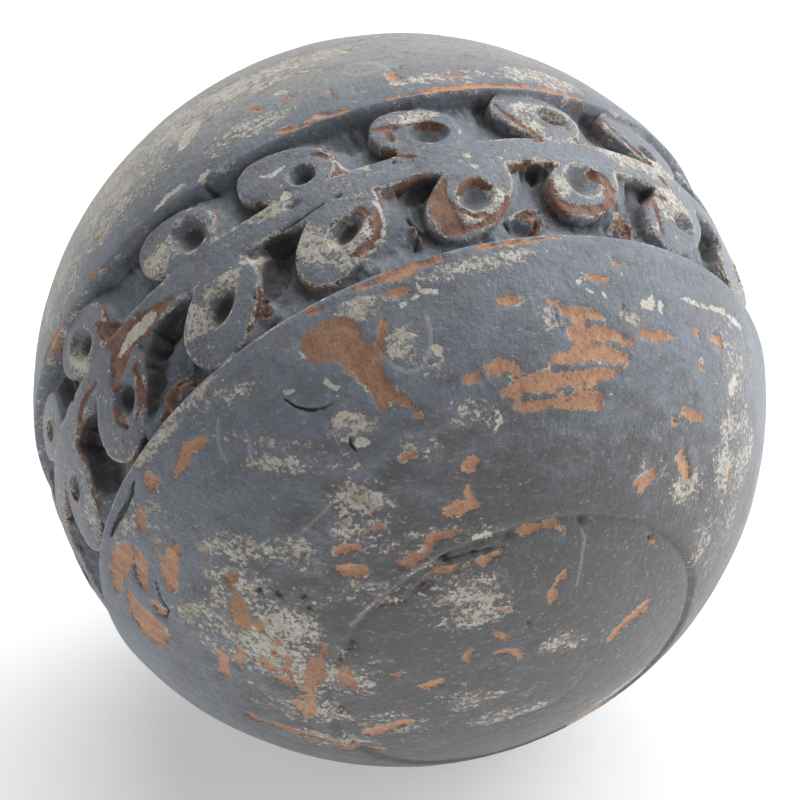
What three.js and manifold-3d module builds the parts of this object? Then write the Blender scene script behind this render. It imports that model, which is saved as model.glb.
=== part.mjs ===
// A turned wooden ball with a carved band of leaves, at rest on a small flat spot.
// Units are millimetres, +Z is up, and the flat spot lies on z = 0.
//
// The ball is laid out as a turner and a carver would: longitude and latitude, in degrees, about
// the lathe axis. The leaves stand on a sunk ground, in two rows along a plain stem, and lean
// towards rising longitude and away from the stem.

import * as THREE from 'three';
import { mergeVertices } from 'three/addons/utils/BufferGeometryUtils.js';
import Module from 'manifold-3d';

const wasm = await Module();
wasm.setup();

const RADIANS = Math.PI / 180;
const FULL_TURN = 360;

// The turned blank.
const BALL_RADIUS = 60;
const TURN_STEPS = 60;
const CAP_STEP = 8;

// The carved band, between two rims, with the stem left standing in it.
const BAND_START = -11.4;
const BAND_END = 18;
const STEM_START = -0.6;
const STEM_END = 4.6;
const GROUND_STEP = 7;
const GROUND_RADIUS = BALL_RADIUS - 3.2;
const STEM_RADIUS = BALL_RADIUS - 1;
const LEAF_RADIUS = BALL_RADIUS - 1.2;
const LEAF_FOOT_RADIUS = GROUND_RADIUS - 0.7;
const WALL_SLOPE = 0.7;

// One leaf: a petal with full, rounded sides and a scooped eye.
const LEAF_PAIRS = 17;
const LEAF_POINTS = 14;
const LEAF_FULLNESS = 2.3;
const EYE_DEPTH = 2.1;
const EYE_SIDES = 10;
const EYE_RINGS = 4;

// The rows, in degrees: the leaf's half length and half width, how far it leans from the stem, and
// which way it points. Each marked pair is a leaf's centre and its eye's, as the carver left them.
const OUTER_ROW = {
  length: 8.5,
  width: 5.3,
  lean: 42,
  away: 1,
  eye: { length: 3.2, width: 2.3 },
  marked: [
    { leaf: [-62.6, 9.7], eye: [-63.9, 10.2] },
    { leaf: [-43.2, 8], eye: [-42.8, 7.6] },
    { leaf: [-22.9, 9.4], eye: [-23.6, 9.7] },
    { leaf: [-1.8, 9.1], eye: [-3.1, 9.1] },
    { leaf: [19.2, 10.5], eye: [19, 10] },
    { leaf: [43, 9.4], eye: [41.3, 9.6] },
    { leaf: [64.5, 9.8], eye: [63.3, 8] },
  ],
};
const INNER_ROW = {
  length: 7.5,
  width: 5,
  lean: 18,
  away: -1,
  eye: { length: 2.8, width: 2.3 },
  marked: [
    { leaf: [-62.2, -6.2], eye: [-62, -3.6] },
    { leaf: [-40.1, -6.1], eye: [-42.7, -5.9] },
    { leaf: [-19.2, -4.9], eye: [-20.9, -3.7] },
    { leaf: [1.6, -5], eye: [-0.7, -3.2] },
    { leaf: [21.2, -5.3], eye: [18.8, -4.4] },
    { leaf: [45.2, -5.9], eye: [45.2, -5.1] },
    { leaf: [64, -5], eye: [63, -4] },
  ],
};

// How the ball lies: the lathe axis points down to the front, and rolls it to this meridian.
const AXIS_TURN = -69;
const AXIS_DIP = 20;
const TOP_MERIDIAN = -22.6;
const FLAT_SPOT_RADIUS = 12.5;
const CENTRE_HEIGHT = Math.sqrt(BALL_RADIUS ** 2 - FLAT_SPOT_RADIUS ** 2);

// A point at a longitude, latitude and radius, with the lathe axis along Z.
function onBall(longitude, latitude, radius) {
  const around = longitude * RADIANS;
  const up = latitude * RADIANS;
  return new THREE.Vector3(
    radius * Math.cos(up) * Math.cos(around),
    radius * Math.cos(up) * Math.sin(around),
    radius * Math.sin(up),
  );
}

// A closed solid from a geometry whose shared corners are joined.
function solid(geometry) {
  const bare = geometry.clone();
  bare.deleteAttribute('normal');
  bare.deleteAttribute('uv');
  const joined = mergeVertices(bare, 1e-5);
  return new wasm.Manifold(new wasm.Mesh({
    numProp: 3,
    vertProperties: new Float32Array(joined.attributes.position.array),
    triVerts: new Uint32Array(joined.index.array),
  }));
}

// Latitudes from one to the other, in equal steps no longer than the one given.
function latitudes(start, end, step) {
  const count = Math.ceil((end - start) / step);
  return Array.from({ length: count + 1 }, (_, i) => start + ((end - start) * i) / count);
}

// One turned stretch of the profile, as lathe points with the axis along Y.
function turned(start, end, step, radius) {
  return latitudes(start, end, step).map((latitude) => new THREE.Vector2(
    radius * Math.cos(latitude * RADIANS),
    radius * Math.sin(latitude * RADIANS),
  ));
}

// The ball as it leaves the lathe, with the ground sunk on both sides of the stem.
function turnedBlank() {
  const profile = [
    ...turned(-90, BAND_START, CAP_STEP, BALL_RADIUS),
    ...turned(BAND_START, STEM_START, GROUND_STEP, GROUND_RADIUS),
    ...turned(STEM_START, STEM_END, GROUND_STEP, STEM_RADIUS),
    ...turned(STEM_END, BAND_END, GROUND_STEP, GROUND_RADIUS),
    ...turned(BAND_END, 90, CAP_STEP, BALL_RADIUS),
  ];
  profile[0].x = 0;
  profile[profile.length - 1].x = 0;
  const blank = new THREE.LatheGeometry(profile, TURN_STEPS);
  blank.rotateX(Math.PI / 2);
  return solid(blank);
}

// The leaves of one row: the marked ones, then even steps round the rest of the ball.
function leavesOf(row) {
  const first = row.marked[0];
  const last = row.marked[row.marked.length - 1];
  const missing = LEAF_PAIRS - row.marked.length;
  const step = (FULL_TURN - (last.leaf[0] - first.leaf[0])) / (missing + 1);
  const even = Array.from({ length: missing }, (_, i) => {
    const along = step * (i + 1);
    return {
      leaf: [last.leaf[0] + along, last.leaf[1]],
      eye: [last.eye[0] + along, last.eye[1]],
    };
  });
  return [...row.marked, ...even];
}

// The petal's outline: an oval with sides fuller than an ellipse's.
function petalOutline(row) {
  const full = (value) => Math.sign(value) * Math.abs(value) ** (2 / LEAF_FULLNESS);
  return Array.from({ length: LEAF_POINTS }, (_, i) => {
    const angle = (i / LEAF_POINTS) * FULL_TURN * RADIANS;
    return new THREE.Vector2(row.length * full(Math.cos(angle)), row.width * full(Math.sin(angle)));
  });
}

// Longitude and latitude of a point measured along and across a leaf's lean, from its centre.
function leaned(row, centre, along, across) {
  const lean = row.lean * RADIANS;
  const east = along * Math.cos(lean) + across * Math.sin(lean);
  const out = along * Math.sin(lean) - across * Math.cos(lean);
  return [centre[0] + east, centre[1] + out * row.away];
}

// One leaf: the outline raised from inside the ball and wrapped round it, with sloping walls.
function leaf(row, centre) {
  const spread = 1 + WALL_SLOPE / row.length;
  const petal = new THREE.ExtrudeGeometry(new THREE.Shape(petalOutline(row)), {
    depth: LEAF_RADIUS - LEAF_FOOT_RADIUS,
    bevelEnabled: false,
  });
  const position = petal.attributes.position;
  for (let i = 0; i < position.count; i += 1) {
    const rise = position.getZ(i);
    const scale = rise > 0 ? 1 : spread;
    const along = position.getX(i) * scale;
    const across = position.getY(i) * scale;
    const [longitude, latitude] = leaned(row, centre, along, across);
    position.setXYZ(i, ...onBall(longitude, latitude, LEAF_FOOT_RADIUS + rise).toArray());
  }
  if (row.away > 0) {
    turnInsideOut(petal);
  }
  return solid(petal);
}

// Swaps two corners of every triangle, after a wrap that mirrored the shape.
function turnInsideOut(geometry) {
  const position = geometry.attributes.position;
  const swapped = new THREE.Vector3();
  const other = new THREE.Vector3();
  for (let i = 0; i < position.count; i += 3) {
    swapped.fromBufferAttribute(position, i + 1);
    other.fromBufferAttribute(position, i + 2);
    position.setXYZ(i + 1, ...other.toArray());
    position.setXYZ(i + 2, ...swapped.toArray());
  }
}

// The scoop of one eye: an oval bowl sunk into the leaf's top along its lean.
function eyeScoop(row, [longitude, latitude]) {
  const perDegree = LEAF_RADIUS * RADIANS;
  const scoop = new THREE.SphereGeometry(1, EYE_SIDES, EYE_RINGS);
  scoop.rotateX(Math.PI / 2);
  scoop.scale(row.eye.length * perDegree, row.eye.width * perDegree, EYE_DEPTH);
  scoop.rotateZ(row.lean * row.away * RADIANS);
  const outward = onBall(longitude, latitude, 1);
  const east = onBall(longitude + 90, 0, 1);
  const north = new THREE.Vector3().crossVectors(outward, east);
  const place = new THREE.Matrix4().makeBasis(east, north, outward);
  place.setPosition(outward.clone().multiplyScalar(LEAF_RADIUS));
  scoop.applyMatrix4(place);
  return solid(scoop);
}

// The blank with both rows of leaves joined on and their eyes scooped out.
function carvedBall() {
  let ball = turnedBlank();
  for (const row of [OUTER_ROW, INNER_ROW]) {
    for (const place of leavesOf(row)) {
      ball = ball.add(leaf(row, place.leaf));
    }
  }
  for (const row of [OUTER_ROW, INNER_ROW]) {
    for (const place of leavesOf(row)) {
      ball = ball.subtract(eyeScoop(row, place.eye));
    }
  }
  return ball;
}

// The turn that lays the lathe axis down as the ball lies, its centre above the origin.
function lyingPose() {
  const around = AXIS_TURN * RADIANS;
  const dip = AXIS_DIP * RADIANS;
  const axis = new THREE.Vector3(
    Math.cos(dip) * Math.cos(around),
    Math.cos(dip) * Math.sin(around),
    -Math.sin(dip),
  );
  const top = new THREE.Vector3(0, 0, 1).addScaledVector(axis, -axis.z).normalize();
  const prime = top.clone().applyAxisAngle(axis, -TOP_MERIDIAN * RADIANS);
  const quarter = new THREE.Vector3().crossVectors(axis, prime);
  const pose = new THREE.Matrix4().makeBasis(prime, quarter, axis);
  pose.setPosition(0, 0, CENTRE_HEIGHT);
  return pose;
}

// A solid as a drawable geometry, optionally moved.
function geometryOf(shape) {
  const mesh = shape.getMesh();
  const geometry = new THREE.BufferGeometry();
  geometry.setAttribute('position', new THREE.BufferAttribute(mesh.vertProperties, 3));
  geometry.setIndex(new THREE.BufferAttribute(mesh.triVerts, 1));
  return geometry;
}

// Everything below z = 0 is cut away, which leaves the flat spot.
function withFlatSpot(geometry) {
  const side = 2 * BALL_RADIUS;
  const below = new THREE.BoxGeometry(side, side, side);
  below.translate(0, 0, -side / 2);
  return geometryOf(solid(geometry).subtract(solid(below)));
}

const lying = geometryOf(carvedBall()).applyMatrix4(lyingPose());
const shape = withFlatSpot(lying);
shape.computeVertexNormals();

const paintedWood = new THREE.MeshStandardMaterial({ color: 0x767e89, roughness: 0.8, metalness: 0 });
const ball = new THREE.Mesh(shape, paintedWood);
ball.name = 'carved_ball';

const part = new THREE.Group();
part.add(ball);

export default part;
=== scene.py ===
"""A turned and carved wooden ball with worn blue-grey paint, lying on a pale floor.

The ball is laid out as its maker would: longitude and latitude, in degrees, about the lathe axis.
The carving is cut by Geometry Nodes on a finely turned blank, knocks and chips are added from tables,
and one layered material wears the paint through to its cream ground and to the wood.
"""
import math
import random

import bpy
import numpy as np
from mathutils import Matrix, Vector


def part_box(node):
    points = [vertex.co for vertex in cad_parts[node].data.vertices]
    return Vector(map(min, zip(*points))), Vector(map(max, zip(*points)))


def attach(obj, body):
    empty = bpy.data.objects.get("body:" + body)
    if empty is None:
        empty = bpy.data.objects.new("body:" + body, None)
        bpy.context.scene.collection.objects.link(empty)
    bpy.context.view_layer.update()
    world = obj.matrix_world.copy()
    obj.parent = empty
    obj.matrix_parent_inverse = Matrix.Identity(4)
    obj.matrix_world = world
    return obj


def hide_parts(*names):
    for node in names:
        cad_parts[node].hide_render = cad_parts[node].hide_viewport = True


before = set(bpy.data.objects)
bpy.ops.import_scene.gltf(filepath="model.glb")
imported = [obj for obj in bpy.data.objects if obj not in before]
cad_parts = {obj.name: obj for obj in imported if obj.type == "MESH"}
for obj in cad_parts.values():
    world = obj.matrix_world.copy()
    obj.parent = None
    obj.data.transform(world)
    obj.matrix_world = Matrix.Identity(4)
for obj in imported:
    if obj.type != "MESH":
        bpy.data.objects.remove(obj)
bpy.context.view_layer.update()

BALL = "carved_ball"

# ---------------------------------------------------------------- sizes, in millimetres and degrees

MM = 0.001
LOW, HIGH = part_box(BALL)
RADIUS = (HIGH.x - LOW.x + HIGH.y - LOW.y) / 4 / MM
CENTRE_HEIGHT = HIGH.z / MM - RADIUS

# The turned blank: how finely it is cut, and the share of its rows in each stretch of latitude.
ROUND_STEPS = 1400
ROW_STEPS = 500
ROW_STRETCHES = [(-90, -14, 0.32), (-14, 20.5, 0.40), (20.5, 90, 0.28)]
KEPT_TRIANGLES = 196000

# How far paint and cream stand above what is under them, and a crack's least depth that is cut.
CHIP_DEPTH = 0.26
CREAM_DEPTH = 0.12
CUT_CRACK = 0.2

# Specks lie level as the ball rests from this latitude on, and follow the rim before it.
LEVEL_FROM = 24
FAR_CHIP_COUNT = 70

# The carved band, as depths below the ball's surface.
INNER_RIM = -11.3
OUTER_RIM = 18.0
STEM_MIDDLE = 2.0
STEM_HALF_WIDTH = 2.5
LEAF_DEPTH = 1.1
GROUND_DEPTH = 3.6
EYE_DEPTH = 2.1
LEAF_FULLNESS = 2.3
LEAF_PAIRS = 17

# How the ball lies.
AXIS_TURN = -69
AXIS_DIP = 20
TOP_MERIDIAN = -22.56

# The leaves whose places are given one by one; the rest are spaced evenly after them. Each is
# (longitude, latitude, half length, half width, lean) for the leaf and then for its eye.
OUTER_LEAVES = [
    ((-62.6, 9.7, 8.9, 5.2, 42), (-63.9, 10.2, 2.9, 2.0, 20)),
    ((-43.2, 8.0, 7.6, 5.1, 42), (-42.8, 7.6, 3.3, 3.0, 30)),
    ((-22.9, 9.4, 8.6, 5.2, 42), (-23.6, 9.7, 3.0, 2.6, 25)),
    ((-1.8, 9.1, 8.8, 5.1, 42), (-3.1, 9.1, 3.5, 2.1, 28)),
    ((19.2, 10.5, 8.7, 5.7, 40), (19.0, 10.0, 3.7, 2.1, 30)),
    ((43.0, 9.4, 8.7, 5.6, 42), (41.3, 9.6, 2.9, 2.5, 50)),
    ((64.5, 9.8, 8.4, 5.2, 42), (63.3, 8.0, 2.4, 1.7, 30)),
]
INNER_LEAVES = [
    ((-62.2, -6.2, 7.8, 5.2, 20), (-62.0, -3.6, 2.0, 1.6, 10)),
    ((-40.1, -6.1, 7.3, 5.2, 18), (-42.7, -5.9, 2.8, 2.2, 15)),
    ((-19.2, -4.9, 6.9, 4.8, 14), (-20.9, -3.7, 3.1, 2.3, 8)),
    ((1.6, -5.0, 7.8, 4.9, 18), (-0.6, -3.2, 2.2, 1.9, 10)),
    ((21.2, -5.3, 7.3, 5.0, 16), (18.8, -4.4, 3.5, 3.0, 45)),
    ((45.2, -5.9, 7.0, 5.3, 18), (45.2, -5.1, 3.6, 2.6, 45)),
    ((64.0, -5.0, 7.0, 4.8, 20), (63.5, -4.0, 2.2, 1.8, 20)),
]


# ---------------------------------------------------------------- wear and damage, mark by mark

# Each mark is a path of (longitude, latitude, half width in mm). These are down to the wood.
WOOD_CHIPS = [
    # the lower cap, in front
    [(8.4, 23.6, 2.4), (4.6, 24.4, 3.2), (2.9, 29.2, 2.3), (2.3, 33.6, 1.4), (3.2, 35.8, 0.9)],
    [(2.2, 33.6, 1.1), (-1.2, 37.0, 0.7)],
    [(-3.1, 24.4, 0.35), (-1.0, 26.9, 0.5), (0.4, 29.5, 0.8)],
    [(6.8, 19.0, 0.35), (5.0, 19.2, 0.45)],
    [(-4.3, 21.5, 0.3), (-6.3, 21.6, 0.75), (-8.1, 21.8, 0.4)],
    [(-0.1, 18.8, 0.15), (-4.1, 19.2, 0.4), (-6.8, 19.1, 0.7), (-10.6, 18.9, 0.75), (-14.8, 18.9, 0.35)],
    [(-20.7, 18.7, 0.12), (-26.5, 18.8, 0.25), (-34.5, 18.4, 0.12)],
    [(-21.4, 27.2, 0.4), (-23.2, 27.3, 0.85), (-25.0, 27.4, 0.3)],
    [(-11.5, 36.7, 0.3), (-13.0, 36.6, 0.8), (-14.8, 36.6, 0.5)],
    [(-16.8, 36.8, 0.7), (-18.6, 36.3, 1.35), (-20.2, 36.4, 1.0), (-22.2, 37.0, 0.25)],
    [(-6.9, 48.7, 0.7), (-8.9, 48.4, 0.85)],
    [(1.0, 53.6, 0.5), (-2.0, 53.8, 0.95), (-5.2, 54.0, 0.9), (-5.8, 51.6, 0.45)],
    [(8.6, 56.6, 0.7), (6.4, 56.2, 0.7), (-0.1, 57.1, 0.3)],
    [(-14.9, 60.7, 0.5), (-18.5, 60.7, 0.8), (-22.2, 60.6, 0.4)],
    [(-25.4, 60.3, 0.4), (-27.9, 60.7, 0.3), (-30.2, 61.6, 0.3)],
    [(20.6, 49.6, 0.2), (18.0, 49.9, 0.45), (15.8, 50.4, 0.2)],
    [(23.1, 46.9, 0.2), (20.9, 47.2, 0.3)],
    [(4.8, 43.8, 0.3), (2.3, 43.8, 0.5)],
    [(-0.8, 39.0, 0.3), (-2.0, 39.3, 0.4)],
    [(-32.0, 29.7, 0.4), (-36.0, 30.0, 0.95), (-39.8, 30.4, 0.6)],
    [(-35.4, 30.6, 0.9), (-35.2, 32.6, 1.4), (-36.0, 35.5, 1.7)],
    [(-34.0, 33.1, 1.3), (-38.9, 33.0, 1.2), (-42.5, 33.4, 0.8), (-45.6, 33.9, 0.3)],
    [(-28.2, 37.1, 0.4), (-31.0, 36.4, 0.95), (-35.0, 35.7, 1.5), (-39.5, 36.0, 1.2), (-44.3, 36.4, 0.7)],
    [(-18.2, 40.1, 0.5), (-21.0, 39.9, 1.25), (-25.0, 39.4, 1.4), (-36.5, 39.3, 1.1), (-43.0, 38.5, 0.3)],
    [(-19.6, 42.2, 0.3), (-22.1, 42.8, 0.75), (-27.2, 42.6, 0.65), (-32.4, 42.7, 1.1), (-37.4, 42.9, 1.3)],
    [(-29.9, 28.0, 0.2), (-31.3, 28.4, 0.45)],
    [(-43.4, 21.9, 0.45), (-46.0, 22.3, 0.3)],
    [(-37.3, 25.3, 0.2), (-39.5, 24.9, 0.45), (-41.5, 25.1, 0.35)],
    [(-48.5, 32.5, 0.8), (-51.3, 32.4, 0.95), (-55.4, 32.0, 0.3)],
    [(-61.7, 29.8, 0.4), (-62.6, 30.2, 0.3)],
    [(-66.5, 29.0, 0.9), (-69.4, 29.2, 0.95)],
    [(-63.2, 34.1, 0.25), (-64.2, 34.9, 0.25)],
    [(-61.1, 42.1, 0.7), (-64.0, 42.0, 0.9), (-66.5, 41.8, 0.45)],
    [(-57.8, 43.6, 0.4), (-58.6, 44.4, 0.45)],
    [(-63.4, 48.4, 0.95), (-65.8, 49.6, 1.25), (-67.9, 50.7, 0.8)],
    [(-50.8, 54.1, 0.4), (-53.5, 53.3, 0.85), (-55.6, 52.4, 0.7)],
    [(-52.8, 56.1, 0.25)],
    [(-83.2, 44.9, 0.3), (-85.1, 45.8, 0.35)],
    # the lower cap, towards its left
    [(45.5, 21.8, 0.91), (46.2, 22.9, 1), (44.5, 23.2, 0.39)],
    [(40.2, 24.8, 0.59), (38.0, 24.5, 1.2), (36.2, 23.5, 1), (32.8, 24.7, 0.52)],
    [(51.7, 23.4, 0.91), (53.7, 24.5, 0.91)],
    [(53.8, 27.8, 0.33), (55.8, 28.3, 0.45)],
    [(50.4, 30.2, 0.26), (52.2, 31.4, 0.65)],
    [(54.1, 30.9, 1.2), (57.2, 31.6, 1.8), (60.2, 32.7, 1)],
    [(60.8, 23.5, 1.4), (65.0, 22.8, 2.1), (68.3, 22.1, 1.4), (71.7, 22.5, 1)],
    [(58.8, 25.7, 0.65), (61.4, 26.7, 1.4), (64.7, 27.9, 1)],
    [(69.6, 25.3, 0.52), (71.6, 26.6, 1.6), (74.5, 27.3, 2.3), (76.9, 29.2, 2.1), (77.2, 31.3, 1.4)],
    [(71.6, 28.5, 0.91), (72.9, 31.0, 1.8), (75.0, 31.6, 1.7)],
    [(67.2, 30.5, 0.65), (67.9, 31.8, 0.78)],
    [(49.9, 39.4, 0.26), (49.0, 40.6, 0.78), (47.3, 41.0, 0.39)],
    [(49.5, 40.6, 0.52), (51.2, 41.2, 0.33)],
    [(51.9, 42.8, 0.52), (54.4, 43.4, 1.6), (57.3, 44.7, 1.6)],
    [(54.7, 47.4, 0.33), (56.8, 48.0, 0.45)],
    [(70.4, 43.3, 0.91), (75.8, 43.2, 0.98)],
    [(66.0, 45.8, 0.52), (71.8, 45.9, 0.85)],
    [(62.0, 52.8, 0.39), (63.9, 53.3, 0.45)],
    [(70.8, 51.0, 0.52), (70.9, 53.8, 0.59)],
    [(60.6, 57.2, 1.4), (65.5, 57.4, 1.6), (71.0, 56.8, 1), (84.0, 56.8, 0.52)],
    [(52.9, 57.0, 0.39), (55.6, 57.7, 0.45)],
    [(60.2, 61.5, 0.78), (65.0, 61.8, 1.3), (67.7, 63.1, 0.91)],
    [(91.7, 45.4, 0.78), (93.4, 47.0, 0.78)],
    [(98.0, 63.7, 0.91), (96.5, 65.7, 1), (93.0, 70.3, 0.78)],
    [(30.4, 51.9, 0.65), (28.4, 53.2, 1.1), (26.1, 54.4, 0.52)],
    [(65.0, 49.0, 0.5), (66.8, 49.6, 0.7), (68.0, 51.2, 0.4)],
    [(65.9, 52.9, 0.6), (67.5, 53.6, 0.5)],
    [(78.0, 54.5, 0.5), (82.0, 55.2, 0.7), (86.0, 55.8, 0.5)],
    [(93.5, 49.5, 0.5), (96.0, 52.0, 0.7), (99.5, 55.0, 0.6), (103.0, 58.0, 0.4)],
    [(104.0, 56.0, 0.4), (108.0, 59.5, 0.7), (112.0, 62.5, 0.5)],
    [(61.5, 50.6, 0.3), (62.5, 51.4, 0.4)],
    [(57.0, 50.2, 0.3), (58.2, 51.2, 0.3)],
    [(27.8, 49.6, 0.52), (25.0, 50.4, 0.52), (22.8, 51.4, 0.26)],
    # within the turned ring, to the pole
    [(18.4, 57.1, 0.6), (14.7, 57.5, 0.9), (11.4, 57.9, 0.7), (7.6, 56.7, 0.5), (6.2, 56.4, 0.3)],
    [(11.5, 60.6, 0.2), (9.0, 61.8, 0.3), (4.6, 62.3, 0.25)],
    [(-2.8, 63.0, 0.6), (-7.8, 62.9, 0.5)],
    [(-30.8, 69.6, 0.4), (-33.2, 68.6, 0.35)],
    [(-28.2, 71.3, 0.3), (-28.8, 73.0, 0.8)],
    [(-4.2, 72.6, 0.4), (-8.1, 73.0, 0.35)],
    [(6.3, 76.0, 0.4), (1.4, 77.4, 0.45)],
    [(14.1, 79.5, 0.35), (-2.1, 81.6, 0.4), (-1.7, 82.9, 0.3)],
    [(25.2, 76.1, 0.4), (35.5, 77.0, 0.45)],
    [(57.5, 68.4, 0.45), (55.6, 69.5, 0.45)],
    [(62.0, 73.8, 0.75), (57.0, 75.7, 0.85)],
    [(58.2, 79.4, 0.3)],
    [(-64.3, 60.9, 0.25), (-67.5, 61.6, 0.35)],
    [(-89.4, 68.3, 0.5), (-90.0, 70.8, 0.8), (-89.6, 74.3, 0.7), (-92.9, 76.0, 0.5)],
    # the upper cap
    [(2.3, -21.2, 0.25), (0.9, -20.0, 0.45)],
    [(-2.7, -19.8, 0.5), (-4.2, -20.3, 0.5)],
    [(-10.2, -18.8, 0.3), (-10.0, -16.4, 0.3)],
    [(-13.6, -16.1, 0.3)],
    [(-6.6, -12.9, 0.6), (-8.3, -12.3, 0.6), (-10.9, -11.9, 0.45)],
    [(-0.4, -12.8, 0.4), (-2.5, -12.2, 0.55), (-4.7, -11.9, 0.35)],
    [(-20.3, -17.9, 0.8), (-20.4, -16.7, 0.75), (-21.8, -15.7, 0.3)],
    [(-17.5, -11.7, 0.12), (-21.0, -11.8, 0.25), (-27.0, -12.0, 0.45), (-31.5, -12.2, 0.55)],
    [(-31.5, -12.2, 0.55), (-36.5, -12.1, 0.45), (-43.5, -12.1, 0.4), (-52.0, -11.7, 0.2)],
    [(-27.8, -15.5, 0.35), (-31.2, -15.3, 0.3)],
    [(48.2, -11.9, 0.45), (53.1, -11.7, 0.55), (56.3, -12.2, 0.35)],
    [(38.4, -12.2, 0.35), (36.0, -12.0, 0.25)],
    [(33.4, -17.9, 0.15), (35.3, -18.3, 0.25)],
    # the leaves and the stem
    [(-19.9, 6.0, 0.3), (-18.0, 8.8, 1.4), (-17.8, 11.4, 1.9), (-18.0, 13.8, 1.9), (-19.6, 15.0, 0.8)],
    [(-20.6, 15.0, 0.45), (-23.8, 14.7, 0.45), (-27.0, 12.6, 0.35), (-28.4, 10.7, 0.2)],
    [(-20.4, 11.9, 0.35), (-22.4, 13.2, 0.3), (-24.2, 13.0, 0.25)],
    [(-20.7, 9.0, 0.25), (-22.4, 7.3, 0.3), (-25.2, 7.1, 0.2), (-26.6, 8.8, 0.2)],
    [(-8.4, 7.6, 0.2), (-8.1, 9.5, 0.5), (-6.9, 11.5, 0.6), (-5.3, 12.9, 0.5), (-2.4, 13.6, 0.35)],
    [(-6.3, 6.9, 0.4), (-6.9, 8.0, 0.5)],
    [(-13.4, -6.8, 0.35), (-14.9, -6.5, 0.6), (-16.4, -6.0, 0.5)],
    [(-15.0, -5.4, 0.45), (-15.1, -3.8, 0.25)],
    [(-13.4, -2.4, 0.35), (-14.7, -1.0, 0.7), (-16.8, 0.5, 0.3)],
    [(-18.6, -5.9, 0.2), (-20.9, -5.9, 0.3), (-23.2, -4.8, 0.2)],
    [(-3.4, -6.1, 0.3), (-4.6, -5.2, 0.5), (-5.7, -4.2, 0.25)],
    [(-10.6, 5.6, 0.2), (-12.5, 5.0, 0.35), (-14.6, 4.5, 0.4), (-17.5, 4.4, 0.12)],
    [(-30.6, 5.7, 0.15), (-32.3, 4.9, 0.25), (-34.3, 4.3, 0.15)],
    [(-36.6, 7.2, 0.35), (-36.4, 10.0, 0.55), (-37.0, 12.0, 0.8), (-39.2, 13.2, 0.9), (-42.5, 13.2, 0.9)],
    [(-42.5, 13.2, 0.9), (-45.2, 12.2, 0.6), (-47.2, 10.8, 0.4)],
    [(-45.0, 5.6, 0.25), (-46.9, 7.0, 1.1), (-47.4, 8.7, 1.0), (-46.4, 10.2, 0.8)],
    [(-33.8, -8.6, 0.3), (-34.4, -6.4, 0.5), (-35.4, -4.6, 0.55), (-36.6, -2.8, 0.6), (-38.2, -1.4, 0.4)],
    [(-55.0, -9.2, 0.3), (-55.9, -6.6, 0.5), (-58.4, -3.2, 0.5), (-61.6, -0.6, 0.3)],
    [(-42.5, -7.2, 0.2), (-44.4, -5.8, 0.3), (-44.6, -3.2, 0.3)],
    [(-36.9, 0.1, 0.2), (-38.6, -0.2, 0.3)],
    [(-58.2, 6.0, 0.4), (-57.0, 8.4, 0.5), (-56.8, 11.5, 0.5), (-57.0, 14.6, 0.3)],
    [(-59.2, 7.0, 0.3), (-60.6, 6.6, 0.3)],
    [(-61.9, 1.8, 0.35), (-62.8, 2.8, 0.4)],
    [(39.6, -3.2, 1.0), (37.6, 0.2, 2.3), (34.0, 2.6, 2.4), (29.5, 3.2, 1.3), (25.4, 3.3, 0.5)],
    [(37.0, 3.0, 2.6), (38.8, 4.4, 2.0), (41.6, 6.2, 1.1)],
    [(36.4, 7.6, 0.35), (36.9, 9.8, 0.5), (38.2, 12.2, 0.45), (41.5, 13.6, 0.25)],
    [(39.8, -3.2, 0.3), (40.4, -5.0, 0.2)],
    [(45.4, 3.0, 0.4), (48.7, 2.6, 0.5), (51.6, 3.4, 0.55), (54.0, 4.5, 0.5), (56.0, 5.9, 0.3)],
    [(37.0, 10.8, 0.25), (37.7, 12.3, 0.3), (38.8, 13.4, 0.2)],
    [(44.0, 9.4, 0.25), (44.5, 11.2, 0.5), (43.6, 13.0, 0.35)],
    [(29.6, 15.9, 0.6), (33.0, 15.8, 1.1), (36.2, 16.2, 0.9), (38.4, 16.8, 0.4)],
    [(12.4, 13.4, 0.4), (13.4, 15.2, 0.7)],
    [(-12.6, 12.3, 0.25), (-13.0, 14.8, 0.4)],
    [(16.2, -1.2, 0.3), (16.0, -2.5, 0.3)],
    [(-49.2, 10.5, 0.35), (-48.2, 13.0, 0.8), (-47.6, 15.4, 1.4), (-48.2, 16.8, 1.0)],
    [(-47.4, 16.7, 0.7), (-50.3, 16.6, 0.3)],
    [(-30.0, 13.4, 0.5), (-30.9, 14.4, 0.9), (-32.6, 14.6, 0.7), (-31.2, 16.3, 0.7)],
    [(-72.3, 12.6, 0.4), (-74.4, 14.6, 0.7), (-75.6, 16.2, 0.6)],
]

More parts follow.
